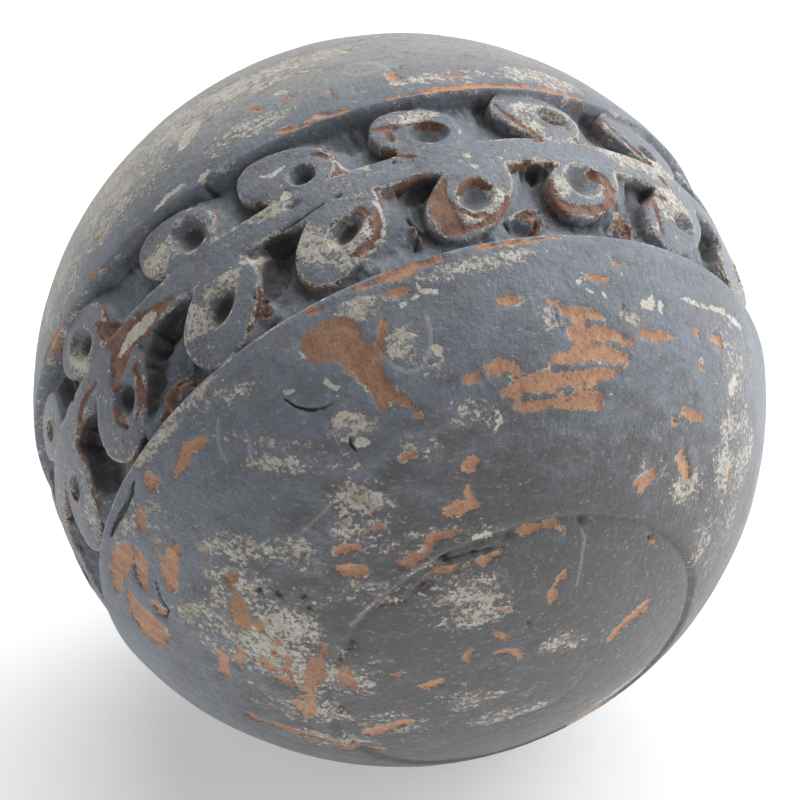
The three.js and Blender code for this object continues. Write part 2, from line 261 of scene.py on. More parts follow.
# Where only the cream ground shows.
CREAM_PATCHES = [
    [(15.0, -22.2, 0.8), (13.6, -24.8, 1.9), (11.8, -26.8, 1.2)],
    [(5.2, -30.2, 1.1), (2.0, -30.2, 0.8)],
    [(-2.8, -22.8, 0.7), (-4.0, -22.0, 0.3)],
    [(-17.4, -31.0, 0.8)],
    [(-48.7, 28.1, 0.75), (-50.4, 27.9, 0.85), (-50.5, 26.6, 0.35)],
    [(-52.4, 27.2, 0.6), (-52.6, 28.2, 0.6)],
    [(-76.0, 32.4, 0.7), (-74.8, 34.7, 1.1)],
    [(-8.8, 31.1, 0.6), (-9.4, 32.6, 0.6)],
    [(-9.6, 20.7, 0.2), (-9.9, 22.6, 0.3), (-8.2, 23.6, 0.2), (-6.2, 23.6, 0.15)],
    [(-9.9, 22.7, 0.3), (-12.3, 23.4, 0.35)],
    [(-15.8, 41.9, 0.2), (-16.9, 43.4, 0.3), (-14.8, 45.0, 0.2)],
    [(-12.6, 41.8, 0.35)],
    [(-36.5, 24.4, 0.25), (-35.9, 25.7, 0.35)],
    [(-37.2, 26.4, 0.25), (-38.4, 27.0, 0.25)],
    [(-40.6, 27.5, 0.45)],
    [(-44.6, 23.8, 0.35)],
    [(-41.1, 41.7, 0.35)],
    [(-2.6, 59.1, 0.5), (-6.8, 59.5, 0.7)],
    [(9.9, 38.6, 0.8), (8.8, 39.3, 0.6)],
    [(11.9, 34.6, 0.3), (10.2, 34.4, 0.6), (8.2, 35.0, 0.5)],
    [(16.6, 26.8, 0.25), (15.2, 27.4, 0.35)],
    [(9.9, 28.8, 0.3), (8.6, 30.6, 0.35)],
    [(2.7, -1.0, 0.95)],
    [(4.9, -6.8, 0.4), (3.4, -5.7, 0.35), (1.4, -6.4, 0.3)],
    [(-24.6, 1.9, 0.35), (-25.2, 2.5, 0.3)],
    [(-25.2, 4.2, 0.6)],
    [(23.4, -5.9, 0.7), (26.0, -4.5, 0.4)],
    [(5.5, 5.3, 0.2), (8.5, 6.2, 0.45), (11.0, 6.6, 0.6), (13.1, 5.7, 0.3)],
    [(48.9, -5.6, 0.4), (47.6, -3.2, 0.8), (46.0, -0.8, 0.7)],
    [(29.8, 3.2, 0.9), (32.8, 3.0, 1.3), (35.4, 2.8, 1.1), (38.2, 3.4, 0.4)],
    [(-8.9, 6.5, 0.5), (-9.1, 8.0, 0.3), (-8.9, 10.0, 0.2), (-7.7, 12.3, 0.25)],
    [(-5.6, -4.0, 0.2), (-6.7, -2.6, 0.2), (-8.2, -0.9, 0.25), (-10.4, 0.7, 0.2)],
    [(-28.6, 13.4, 0.25), (-29.9, 12.5, 0.3), (-31.6, 12.6, 0.2)],
    [(-47.1, 13.0, 0.2), (-45.9, 15.0, 0.25), (-45.6, 17.2, 0.3)],
    [(51.6, 20.9, 0.45)],
    [(55.7, 18.5, 0.4)],
    [(35.5, 10.3, 0.15), (36.0, 12.1, 0.15), (38.4, 14.0, 0.12)],
    [(12.2, -12.6, 0.5), (13.8, -12.0, 0.5)],
    [(22.0, -12.4, 0.3), (19.0, -13.3, 0.5), (16.4, -13.2, 0.4)],
    [(-57.5, 25.4, 0.2), (-62.9, 25.2, 0.3), (-69.2, 23.8, 0.35), (-77.5, 23.4, 0.5)],
]

# Cream specks come through in rows: (longitude, latitude, half length, half height, share).
SPECKLED = [
    (36, 19.2, 13, 1.3, 1.0), (24, 22.5, 7, 2.2, 0.8), (27, 28.0, 6, 1.2, 0.8), (25, 34.5, 6, 1.6, 0.9),
    (-20, 21.0, 11, 1.6, 1.0), (1, 21.6, 4.5, 2.2, 1.0), (-4, 28.5, 3, 3.4, 0.9),
    (10, 36.5, 4.5, 2.6, 0.9), (-8, 34.0, 4, 2.0, 0.8), (-12, 42.0, 6, 3.0, 0.75),
    (22, 32.5, 6, 1.0, 0.8), (20, 36.0, 8, 1.2, 0.7), (14, 42.0, 6, 1.4, 0.75), (0, 43.0, 4, 2.6, 0.8),
    (17, 45.5, 6, 3.0, 0.8), (18, 51.5, 8, 3.5, 0.8), (2, 57.0, 9, 2.0, 0.75),
    (10, 63.0, 10, 4.0, 0.75), (12, 69.5, 9, 4.0, 0.8), (45, 37.0, 7, 2.0, 0.9),
    (48, 42.0, 8, 3.0, 0.85), (54, 49.5, 6, 4.0, 1.0), (64, 40.0, 7, 5.0, 0.75),
    (66, 50.0, 8, 5.0, 0.85), (60, 57.0, 10, 5.0, 0.7), (76, 55.0, 9, 6.0, 0.6),
    (37, 46.0, 6, 3.0, 0.7), (30, 57.0, 9, 4.0, 0.55), (50, 26.0, 8, 3.0, 0.6),
    (57, 22.0, 6, 3.0, 0.75), (28, 20.5, 7, 1.6, 0.6), (30, -22.0, 12, 7.0, 0.75),
    (22, -32.0, 20, 8.0, 0.65), (48, -20.0, 10, 8.0, 0.75), (4, -17.0, 9, 3.0, 0.7),
    (-2, -32.0, 16, 6.0, 0.6), (-30, -15.5, 14, 2.0, 0.9), (-46, -16.0, 9, 4.0, 0.9),
    (-45, 30.5, 3, 1.5, 0.9), (-30, 30.5, 2.5, 3.0, 0.8), (-75, 30.0, 9, 9.0, 0.6),
    (-84, 42.0, 9, 9.0, 0.85), (-70, 52.5, 6, 3.0, 0.95), (-56, 51.0, 4, 2.5, 0.7),
    (-92, 52.0, 9, 8.0, 0.7), (-110, 30.0, 12, 12.0, 0.6), (-3, 12.0, 5.5, 3.5, 0.95),
    (-24, 13.5, 4, 1.2, 1.0), (-38, 9.0, 1.6, 2.6, 1.0), (-27, 10.5, 1.5, 2.5, 0.8),
    (2, 9.5, 2.5, 4.0, 0.9), (-20, -7.8, 5, 1.1, 0.9), (-40, -7.0, 6, 2.2, 0.9),
    (-37, -4.0, 3, 3.0, 0.8), (-62, 8.0, 5, 4.0, 0.9), (-58, 0.0, 10, 3.0, 0.6),
    (24, 9.0, 3.5, 3.5, 0.7), (17, 7.0, 4, 1.6, 0.7), (26, -4.0, 3.5, 3.0, 0.7),
    (47, -4.0, 3.5, 4.0, 0.8), (6, 0.5, 4, 1.4, 0.7), (62, 14.0, 5, 3.0, 0.7), (30, 15.5, 4, 3.0, 0.6),
    (80, 80.0, 8, 3.0, 0.7), (-50, 81.0, 5, 3.0, 0.7), (150, 82.0, 8, 2.5, 0.8),
    (42.1, 38.3, 6, 2.5, 0.85), (34.3, 44.6, 6, 2.0, 0.7), (52.0, 44.8, 9, 3.5, 0.85),
    (43.3, 50.5, 7, 3.0, 0.75), (52.0, 50.7, 7, 4.0, 1.0), (60.0, 50.0, 9, 5.0, 1.0),
    (66.0, 55.0, 9, 4.0, 0.95), (68.8, 62.2, 6, 4.0, 0.8), (65.5, 42.7, 6, 5.0, 0.85),
    (84.0, 55.0, 10, 4.0, 0.75), (101, 57.0, 9, 4.0, 0.8), (92, 68.0, 9, 4.0, 0.7),
]

# Where the bare wood has gone darkest: (longitude, latitude, half length, half height, how far).
AGED = [
    (8.0, 24.0, 9, 7, 1.0), (2.0, 32.0, 7, 7, 1.0), (50.0, 44.0, 6, 6, 0.7), (12.0, 58.0, 9, 4, 0.4),
    (48.0, 40.0, 4, 4, 0.8), (62.0, 61.0, 9, 5, 0.5),
]

# Knocks, knots and holes: (longitude, latitude, half length, half height, turn, depth).
HOLES = [
    (13.4, -11.0, 1.0, 0.8, 20, 1.3), (-21.0, -19.5, 1.7, 0.6, 20, 1.2), (7.2, 59.8, 1.1, 0.6, 0, 1.3),
    (17.5, 61.9, 1.9, 0.8, 0, 1.0), (-12.6, 60.5, 1.8, 0.6, 0, 0.5), (-15.2, 76.4, 0.6, 0.5, 0, 0.5),
    (47.4, 44.7, 0.5, 0.8, 0, 1.0), (45.3, 47.3, 0.5, 0.7, 0, 0.9), (42.2, 50.6, 0.8, 0.5, 0, 0.7),
    (43.9, 52.3, 0.5, 0.6, 0, 0.6), (49.0, 60.6, 2.2, 1.0, 0, 0.8), (56.8, 60.2, 0.7, 0.5, 0, 0.5),
    (82.0, 61.3, 1.2, 0.8, 0, 0.9), (-66.0, 61.2, 0.9, 0.5, 0, 0.6), (13.5, 11.9, 0.9, 0.4, 60, 0.5),
    (22.6, 11.6, 0.9, 0.35, 60, 0.5), (51.8, -1.4, 1.3, 1.6, 0, 1.2), (2.6, 1.3, 1.7, 0.8, 0, 0.45),
    (7.0, -2.2, 1.8, 1.2, 0, 0.35), (11.2, -2.4, 0.3, 0.3, 0, 0.5), (-13.9, 0.6, 0.4, 0.3, 0, 0.5),
    (-15.8, 17.1, 0.5, 0.4, 0, 0.6), (-27.6, 14.9, 0.5, 1.3, 20, 1.2), (-4.2, 3.2, 0.9, 0.3, 0, 0.5),
    (-5.9, -8.3, 0.7, 0.4, 0, 0.5), (-30.7, 30.2, 0.4, 1.6, 0, 0.3), (-44.0, 29.3, 0.35, 1.3, 0, 0.4),
    (-53.5, 46.5, 1.4, 0.25, 0, 0.3), (-57.0, 50.0, 0.9, 0.3, 0, 0.4), (14.2, 31.0, 0.5, 0.4, 0, 0.3),
    (-36.0, 60.5, 1.1, 1.1, 0, 0.35), (-33.0, 14.4, 0.5, 1.6, 0, 1.2), (-31.6, 15.6, 0.5, 0.7, 0, 1.0),
    (-48.7, 11.7, 0.4, 0.5, 0, 0.6), (-48.3, 14.3, 0.8, 0.35, 30, 0.6), (-47.6, 16.4, 0.4, 0.5, 0, 0.5),
]

# Cracks and tool lines: depth in mm, then the path.
CRACKS = [
    (0.7, [(17.1, 27.7, 0.1), (16.2, 29.6, 0.2), (14.4, 31.2, 0.25), (12.0, 32.0, 0.15), (9.6, 32.1, 0.08)]),
    (0.2, [(27.3, 23.3, 0.12), (30.0, 25.4, 0.12), (31.4, 27.7, 0.12), (32.1, 30.6, 0.1)]),
    (0.2, [(25.6, 27.7, 0.12), (26.5, 30.0, 0.15), (28.4, 31.7, 0.1)]),
    (0.6, [(61.9, 25.2, 0.15), (64.4, 26.1, 0.2), (65.8, 27.5, 0.12)]),
    (0.7, [(61.7, 29.7, 0.15), (64.7, 31.3, 0.2), (66.4, 33.0, 0.25), (68.3, 33.1, 0.15), (69.6, 31.0, 0.1)]),
    (0.3, [(63.8, 37.6, 0.12), (71.8, 37.6, 0.2)]),
    (0.7, [(9.0, 60.4, 0.12), (0.6, 61.0, 0.25), (-4.0, 61.6, 0.2), (-10.0, 62.1, 0.12)]),
    (0.6, [(5.8, 4.4, 0.15), (2.9, 4.3, 0.2), (-1.9, 3.4, 0.1)]),
    (0.8, [(48.6, 19.8, 0.3), (50.5, 20.3, 0.5), (53.5, 20.6, 0.45), (57.0, 20.1, 0.45), (61.0, 19.8, 0.3)]),
    (0.4, [(31.5, 60.2, 0.15), (25.0, 62.3, 0.2)]),
    (0.2, [(-16.0, -25.2, 0.15), (-19.2, -23.6, 0.2), (-20.2, -21.0, 0.2),
          (-17.1, -20.0, 0.2), (-13.6, -21.8, 0.1)]),
    (0.6, [(10.9, 37.4, 0.15), (11.6, 38.4, 0.25), (11.3, 39.6, 0.12)]),
    (0.3, [(9.9, 30.6, 0.1), (7.4, 32.4, 0.15)]),
    (0.15, [(-0.4, 27.4, 0.1), (-0.4, 29.4, 0.12), (-1.3, 31.4, 0.14), (-2.9, 32.8, 0.14),
          (-4.9, 33.2, 0.14)]),
    (0.15, [(-4.9, 33.2, 0.14), (-6.9, 32.3, 0.14), (-8.5, 30.4, 0.14), (-9.3, 28.0, 0.14),
          (-9.2, 26.0, 0.12)]),
    (0.6, [(-12.9, 9.4, 0.2), (-13.7, 12.7, 0.3), (-12.0, 15.4, 0.15)]),
    (0.6, [(28.3, 13.2, 0.15), (29.8, 15.2, 0.3), (31.4, 15.4, 0.15)]),
    (0.4, [(14.6, 17.0, 0.15), (12.0, 16.4, 0.2)]),
    (0.15, [(-36.3, 61.6, 0.1), (-38.5, 63.3, 0.12), (-39.3, 67.1, 0.12), (-40.6, 71.7, 0.1)]),
    (0.15, [(30.5, 44.2, 0.12), (18.7, 43.6, 0.1)]),
    (0.15, [(32.3, 54.8, 0.12), (23.5, 58.2, 0.1)]),
    (0.15, [(43.2, 58.6, 0.15), (29.5, 58.8, 0.1)]),
]

# Where the ground was cut deepest and the darkest eyes, darkened there by painted shade and gathered grime:
# (longitude, latitude, half length, half height, turn, extra depth, how dark).
POCKETS = [
    (-16.3, 5.6, 3.4, 1.7, 28, 0.9, 0.85), (-14.9, 9.6, 1.2, 3.2, 0, 0.6, 0.6),
    (-35.6, 5.0, 1.3, 1.8, 0, 1.4, 0.95), (-35.4, 9.5, 1.0, 3.0, 0, 0.4, 0.5),
    (-58.0, 8.4, 4.6, 1.4, 78, 1.0, 0.9), (-54.4, 9.6, 1.3, 4.6, 0, 0.4, 0.5),
    (-77.5, 8.6, 2.6, 3.6, 0, 1.5, 1.0), (-32.6, -8.6, 1.5, 4.0, 0, 0.8, 0.7),
    (-12.2, -8.6, 3.0, 3.0, 0, 0.7, 0.55), (-8.8, -8.0, 3.0, 2.6, 0, 0.4, 0.4),
    (-53.6, -8.5, 1.4, 4.0, 0, 0.8, 0.8), (9.2, -8.4, 2.2, 2.8, 0, 0.6, 0.55),
    (56.3, -5.6, 2.4, 3.4, 0, 1.4, 1.0), (8.6, 8.9, 5.6, 2.3, 48, 1.3, 1.0),
    (6.8, 5.6, 3.2, 1.5, 0, 0.8, 1.0), (30.0, 6.4, 6.5, 2.0, 24, 1.5, 1.0),
    (36.4, 11.2, 6.0, 2.0, 42, 1.5, 1.0), (42.8, 15.6, 4.0, 1.6, 20, 1.0, 0.9),
    (54.6, 6.4, 4.4, 3.4, 30, 1.5, 1.0), (56.0, 11.0, 4.2, 5.0, 20, 1.2, 0.9),
    (74.0, 9.0, 4.0, 5.0, 0, 1.2, 0.8), (-3.3, 9.4, 2.2, 1.2, 28, 0.3, 0.9),
    (19.0, 10.0, 2.8, 1.4, 30, 0.3, 0.7), (41.6, 9.2, 2.2, 1.6, 50, 0.3, 0.9),
    (18.8, -4.4, 2.6, 2.2, -45, 0.2, 0.5), (45.2, -5.1, 2.6, 1.8, -45, 0.2, 0.6),
    (-0.6, -3.2, 1.6, 1.3, 0, 0.2, 0.55), (38.5, -13.2, 4.2, 1.6, 0, 0.0, 0.7),
    (29.0, -10.4, 6.0, 1.4, 0, 0.0, 0.5),
]

# Broken ridges left between the leaves by the rim: an oval as above, and how far it stays below the surface.
RIDGES = [
    (-47.8, 15.4, 3.0, 4.6, 10, 0.8), (-31.4, 14.6, 3.0, 2.8, 0, 0.9), (33.0, 16.0, 4.8, 2.4, 0, 1.2),
    (13.0, 15.0, 2.4, 2.6, 0, 1.5), (-12.9, 13.4, 0.8, 3.0, 0, 1.9),
]


# ---------------------------------------------------------------- the lathe's own frame

def on_ball(longitude, latitude):
    """The unit vector at a longitude and latitude, with the lathe axis along Z."""
    around, up = math.radians(longitude), math.radians(latitude)
    return Vector((math.cos(up) * math.cos(around), math.cos(up) * math.sin(around), math.sin(up)))


def lathe_to_world():
    """The turn that lays the lathe axis down as the ball lies."""
    around, dip = math.radians(AXIS_TURN), math.radians(AXIS_DIP)
    axis = Vector((math.cos(dip) * math.cos(around), math.cos(dip) * math.sin(around), -math.sin(dip)))
    top = (Vector((0, 0, 1)) - axis * axis.z).normalized()
    prime = Matrix.Rotation(math.radians(-TOP_MERIDIAN), 3, axis) @ top
    return Matrix((prime, axis.cross(prime), axis)).transposed()


LYING = lathe_to_world()


# ---------------------------------------------------------------- node trees written as expressions

class Field:
    """A node's output. Arithmetic on it adds Math nodes to the same tree."""

    def __init__(self, nodes, socket):
        self.nodes = nodes
        self.socket = socket

    def __add__(self, other):
        return self.nodes.math("ADD", self, other)

    def __sub__(self, other):
        return self.nodes.math("SUBTRACT", self, other)

    def __rsub__(self, other):
        return self.nodes.math("SUBTRACT", other, self)

    def __mul__(self, other):
        return self.nodes.math("MULTIPLY", self, other)

    def __truediv__(self, other):
        return self.nodes.math("DIVIDE", self, other)

    def __pow__(self, other):
        return self.nodes.math("POWER", self, other)

    def __abs__(self):
        return self.nodes.math("ABSOLUTE", self)

    def __neg__(self):
        return self.nodes.math("MULTIPLY", self, -1)

    __radd__ = __add__
    __rmul__ = __mul__


class Nodes:
    """One node tree. add() makes any node; the other methods are shorthands for it."""

    MIX_SOCKETS = {"FLOAT": (2, 3, 0), "RGBA": (6, 7, 2)}

    def __init__(self, tree):
        self.tree = tree

    def add(self, kind, settings=None, inputs=None, out=0):
        node = self.tree.nodes.new(kind)
        for name, value in (settings or {}).items():
            setattr(node, name, value)
        for key, value in (inputs or {}).items():
            self.feed(node.inputs[key], value)
        return Field(self, node.outputs[out]) if node.outputs else node

    def feed(self, socket, value):
        if isinstance(value, Field):
            self.tree.links.new(value.socket, socket)
        elif value is not None:
            socket.default_value = value

    def math(self, operation, *values):
        return self.add("ShaderNodeMath", {"operation": operation}, dict(enumerate(values)))

    def vector(self, operation, *values, out=0):
        return self.add("ShaderNodeVectorMath", {"operation": operation}, dict(enumerate(values)), out)

    def dot(self, a, b):
        return self.vector("DOT_PRODUCT", a, b, out="Value")

    def scaled(self, vector, factor):
        return self.add("ShaderNodeVectorMath", {"operation": "SCALE"}, {0: vector, "Scale": factor})

    def split(self, vector):
        return [self.add("ShaderNodeSeparateXYZ", None, {0: vector}, axis) for axis in range(3)]

    def joined(self, x, y, z):
        return self.add("ShaderNodeCombineXYZ", None, {0: x, 1: y, 2: z})

    def least(self, a, b):
        return self.math("MINIMUM", a, b)

    def most(self, a, b):
        return self.math("MAXIMUM", a, b)

    def ease(self, value, start, end, low=0.0, high=1.0):
        """Goes smoothly from low at start to high at end, and stays there."""
        sockets = {"Value": value, 1: start, 2: end, 3: low, 4: high}
        return self.add("ShaderNodeMapRange", {"interpolation_type": "SMOOTHSTEP"}, sockets)

    def ramp(self, value, start, end, low=0.0, high=1.0):
        """The same in a straight line."""
        return self.add("ShaderNodeMapRange", None, {"Value": value, 1: start, 2: end, 3: low, 4: high})

    def mix(self, factor, a, b, kind="RGBA"):
        first, second, out = self.MIX_SOCKETS[kind]
        return self.add("ShaderNodeMix", {"data_type": kind}, {0: factor, first: a, second: b}, out)

    def attribute(self, name):
        return self.add("ShaderNodeAttribute", {"attribute_name": name}, None, "Fac")

    def noise(self, vector, scale=1.0, detail=2.0, rough=0.5):
        """Fractal noise centred on zero, about -1 to 1."""
        sockets = {"Vector": vector, "Scale": scale, "Detail": detail, "Roughness": rough}
        return (self.add("ShaderNodeTexNoise", {"noise_dimensions": "3D"}, sockets) - 0.5) * 2


# ---------------------------------------------------------------- the leaves, as marks on the blank

def leaves_of(marked, seed):
    """The marked leaves of one row, then the rest in even steps, each a little different."""
    rng = np.random.default_rng(seed)
    missing = LEAF_PAIRS - len(marked)
    gap = (360 - marked[-1][0][0] + marked[0][0][0]) / (missing + 1)
    mean_leaf = np.mean([leaf for leaf, _ in marked], axis=0)
    mean_eye = np.mean([eye for _, eye in marked], axis=0)
    rest = []
    for step in range(1, missing + 1):
        shift = np.array([marked[-1][0][0] + gap * step - mean_leaf[0], 0, 0, 0, 0])
        leaf = mean_leaf + shift + rng.normal(0, (0.5, 0.25, 0.25, 0.15, 2.5))
        eye = mean_eye + shift + rng.normal(0, (0.5, 0.3, 0.3, 0.2, 5))
        rest.append((leaf, eye))
    return list(marked) + rest


def directions(longitude, latitude, lean, away):
    """The place of a mark, and the directions along and across its lean."""
    place = on_ball(longitude, latitude)
    east = on_ball(longitude + 90, 0)
    north = place.cross(east)
    turn = math.radians(lean) * away
    along = east * math.cos(turn) + north * math.sin(turn)
    return place, along, place.cross(along)


def leaf_marks():
    """A mesh of one vertex for each leaf, whose attributes give the leaf's and its eye's shape."""
    names = ("place", "along", "across", "size", "eye", "eye_along", "eye_across", "eye_size")
    columns = {name: [] for name in names}
    rows = [(leaves_of(OUTER_LEAVES, 3), 1), (leaves_of(INNER_LEAVES, 4), -1)]
    for leaves, away in rows:
        for leaf, eye in leaves:
            place, along, across = directions(leaf[0], leaf[1], leaf[4], away)
            eye_place, eye_along, eye_across = directions(eye[0], eye[1], eye[4], away)
            size = (leaf[2], leaf[3], away)
            eye_size = (eye[2], eye[3], 0)
            values = (place, along, across, size, eye_place, eye_along, eye_across, eye_size)
            for name, value in zip(columns, values):
                columns[name].append(tuple(value))
    mesh = bpy.data.meshes.new("leaf_marks")
    mesh.from_pydata(columns["place"], [], [])
    for name, values in columns.items():
        layer = mesh.attributes.new(name, "FLOAT_VECTOR", "POINT")
        layer.data.foreach_set("vector", np.array(values, dtype=np.float32).ravel())
    marks = bpy.data.objects.new("leaf_marks", mesh)
    bpy.context.scene.collection.objects.link(marks)
    return marks


# ---------------------------------------------------------------- the carving tree

def tree_with_inputs(name, inputs):
    """A geometry tree with named inputs, and its fields by those names."""
    tree = bpy.data.node_groups.new(name, "GeometryNodeTree")
    tree.interface.new_socket("Geometry", in_out="OUTPUT", socket_type="NodeSocketGeometry")
    for title, kind in inputs.items():
        tree.interface.new_socket(title, in_out="INPUT", socket_type=kind)
    nodes = Nodes(tree)
    source = tree.nodes.new("NodeGroupInput")
    return nodes, {title: Field(nodes, source.outputs[title]) for title in inputs}


def turned_rows(n):
    """Places on the unit ball, with the rows of latitude drawn together in the carved band."""
    x, y, z = n.split(n.add("GeometryNodeInputPosition"))
    share = n.math("ARCSINE", z) / math.pi + 0.5
    latitude = -90.0
    start = 0.0
    for low, high, rows in ROW_STRETCHES:
        latitude = n.ramp(share, start, start + rows, 0.0, high - low) + latitude
        start += rows
    up = latitude * math.radians(1)
    level = n.scaled(n.vector("NORMALIZE", n.joined(x, y, 0.0)), n.math("COSINE", up))
    return n.vector("ADD", level, n.joined(0.0, 0.0, n.math("SINE", up))), latitude


def oval(n, place, centre, along, across, size, radius, fullness):
    """How far out a place lies in an oval, 0 at its centre and 1 on its edge, and the mm to its edge."""
    away = n.scaled(n.vector("SUBTRACT", place, centre), radius)
    half_length, half_width, _ = n.split(n.scaled(size, radius * math.radians(1)))
    u = abs(n.dot(away, along)) / half_length
    v = abs(n.dot(away, across)) / half_width
    out = (u ** fullness + v ** fullness) ** (1 / fullness)
    slope = ((u / half_length) ** 2 + (v / half_width) ** 2) ** 0.5
    return out, (out - 1) * out / n.most(slope, 0.02)


def carve(n, given):
    """The carved surface as a height above the ball, in mm, and the measures that the finish follows."""
    place, latitude = turned_rows(n)
    radius = given["Radius"]
    surface = n.scaled(place, radius)
    wobble = n.noise(surface, 0.11, 2)
    fine_wobble = n.noise(surface, 0.5, 2)
    rough = n.noise(surface, 1.1, 3, 0.6)
    degree = radius * math.radians(1)

    nearest = n.add("GeometryNodeSampleNearest", {"domain": "POINT"}, {"Geometry": given["marks"], 1: place})

    def mark(name):
        named = n.add("GeometryNodeInputNamedAttribute", {"data_type": "FLOAT_VECTOR"}, {"Name": name})
        settings = {"data_type": "FLOAT_VECTOR", "domain": "POINT"}
        sockets = {"Geometry": given["marks"], "Value": named, "Index": nearest}
        return n.add("GeometryNodeSampleIndex", settings, sockets)

    leaf_size = mark("size")
    _, leaf = oval(n, place, mark("place"), mark("along"), mark("across"), leaf_size, radius, LEAF_FULLNESS)
    stem = (abs(latitude + wobble * 0.5 - STEM_MIDDLE) - STEM_HALF_WIDTH) * degree
    raised = n.math("SMOOTH_MIN", leaf, stem, 2.2) + fine_wobble * 0.15 + wobble * 0.15
    eye, _ = oval(n, place, mark("eye"), mark("eye_along"), mark("eye_across"), mark("eye_size"), radius, 2.0)
    eye = eye + fine_wobble * 0.06

    # Leaf tops: flat, eased at their edges, a faint lip round the eye, and the eye scooped out.
    top = -given["Leaf depth"] - n.ease(raised, -0.7, 0.1, 0.0, 0.18)
    bowl = n.most(1 - eye * eye, 0.0) ** 0.65
    top = top + n.ease(eye, 1.55, 1.08, 0.0, 0.15) - bowl * given["Eye depth"]
    top = top + wobble * 0.15 + rough * 0.05

    # Ground: cut down steeply on one side of each leaf and sloping away from it on the other,
    # rising to the rims, with short cuts across the band.
    x, y, _ = n.split(place)
    eastward = n.vector("NORMALIZE", n.joined(-y, x, 0.0))
    beside = n.dot(n.vector("SUBTRACT", place, mark("place")), eastward) * radius
    across_cuts = n.noise(n.vector("MULTIPLY", surface, (1.0, 1.0, 0.25)), 1.0, 2)
    rim_inner = (latitude - INNER_RIM) * degree
    rim_outer = (OUTER_RIM - latitude) * degree
    from_rim = n.least(rim_inner, rim_outer) + wobble * 0.2
    deep = -given["Ground depth"] - n.ease(raised, 0.2, 1.6, 0.0, 0.5)
    slope = -given["Leaf depth"] - 0.7 - n.ramp(raised, 0.1, 3.3, 0.0, 2.3)
    ground = n.mix(n.ease(beside, 0.5, -2.5), deep, slope, "FLOAT")
    rise = n.mix(n.ease(latitude, 0.0, 3.0), 0.5, 1.3, "FLOAT")
    ground = ground + n.ease(from_rim, 4.2, 0.8) * rise + across_cuts * 0.5 + wobble * 0.2 + rough * 0.2
    ground = n.least(ground, -given["Leaf depth"] - 0.25)

    band = n.mix(n.ease(raised, 0.42, -0.05), ground, top, "FLOAT")

    # The caps: softly uneven, a turned step near the far end, and rims worn round.
    step = latitude + wobble * 0.25
    ring = n.ease(step, 59.0, 59.6, 0.0, 0.4) + n.ease(abs(step - 59.8), 0.7, 0.0, 0.0, 0.35)
    ring = ring + n.ease(abs(step - 80.5), 0.7, 0.1, 0.0, 0.15)
    ring = ring + n.ease(abs(latitude + 36), 0.5, 0.1, 0.0, 0.15)
    cap = wobble * 0.12 + n.noise(surface, 0.035, 1) * 0.4 + fine_wobble * 0.05 + rough * 0.02
    cap = cap - n.ease(from_rim, -0.7, 0.1, 0.0, 0.18) - ring
    height = n.mix(n.ease(from_rim, -0.1, 0.4), cap, band, "FLOAT")
    measures = {"raised": raised, "eye": eye, "from_rim": from_rim}
    return n.scaled(place, radius + height), measures


def carving_tree(finish):
    """Turns the blank, carves it, lays it down as the ball lies and presses the flat spot."""
    inputs = {
        "Leaf marks": "NodeSocketObject",
        "Radius": "NodeSocketFloat",
        "Centre height": "NodeSocketFloat",
        "Leaf depth": "NodeSocketFloat",
        "Ground depth": "NodeSocketFloat",
        "Eye depth": "NodeSocketFloat",
    }
    n, given = tree_with_inputs("carved ball", inputs)
    original = {"transform_space": "ORIGINAL"}
    given["marks"] = n.add("GeometryNodeObjectInfo", original, {"Object": given["Leaf marks"]}, "Geometry")
    steps = {"Segments": ROUND_STEPS, "Rings": ROW_STEPS, "Radius": 1.0}
    blank = n.add("GeometryNodeMeshUVSphere", None, steps)
    carved_place, measures = carve(n, given)
    kept = blank
    for name, value in measures.items():
        settings = {"data_type": "FLOAT", "domain": "POINT"}
        sockets = {"Geometry": kept, "Name": name, "Value": value}
        kept = n.add("GeometryNodeStoreNamedAttribute", settings, sockets)
    carved = n.add("GeometryNodeSetPosition", None, {"Geometry": kept, "Position": carved_place})
    laid = n.add("GeometryNodeTransform", None, {
        "Geometry": carved,
        "Translation": n.joined(0.0, 0.0, given["Centre height"] * MM),
        "Rotation": LYING.to_euler(),
        "Scale": (MM, MM, MM),
    })
    x, y, z = n.split(n.add("GeometryNodeInputPosition"))
    above = n.joined(x, y, n.most(z, 0.0))
    pressed = n.add("GeometryNodeSetPosition", None, {"Geometry": laid, "Position": above})
    real = n.add("GeometryNodeRealizeInstances", None, {"Geometry": pressed})
    smooth = n.add("GeometryNodeSetShadeSmooth", None, {"Geometry": real, "Shade Smooth": True})
    finished = n.add("GeometryNodeSetMaterial", None, {"Geometry": smooth, "Material": finish})
    output = n.tree.nodes.new("NodeGroupOutput")
    n.feed(output.inputs[0], finished)
    return n.tree


def smooth_step(value, start, end):
    """0 before start and 1 after end, eased between."""
    share = np.clip((value - start) / (end - start), 0, 1)
    return share * share * (3 - 2 * share)


def mark_distance(outward, paths, reach=3.0):
    """How far each place on the ball lies from the nearest mark's edge, in mm; less than 0 inside a mark."""
    nearest = np.full(len(outward), reach, dtype=np.float32)
    for path in paths:
        for start, end in list(zip(path, path[1:])) or [(path[0], path[0])]:
            first = np.array(on_ball(*start[:2]), dtype=np.float32)
            last = np.array(on_ball(*end[:2]), dtype=np.float32)
            line = last - first
            half = np.linalg.norm(line) / 2 + (max(start[2], end[2]) + reach) / RADIUS
            near = np.flatnonzero(outward @ ((first + last) / 2) > 1 - half * half)
            share = np.clip((outward[near] - first) @ line / max(line @ line, 1e-9), 0, 1)[:, None]
            spot = first + line * share
            spot /= np.linalg.norm(spot, axis=1, keepdims=True)
            away = np.linalg.norm(outward[near] - spot, axis=1) * RADIUS
            away -= start[2] + (end[2] - start[2]) * share[:, 0]
            nearest[near] = np.minimum(nearest[near], away)
    return nearest


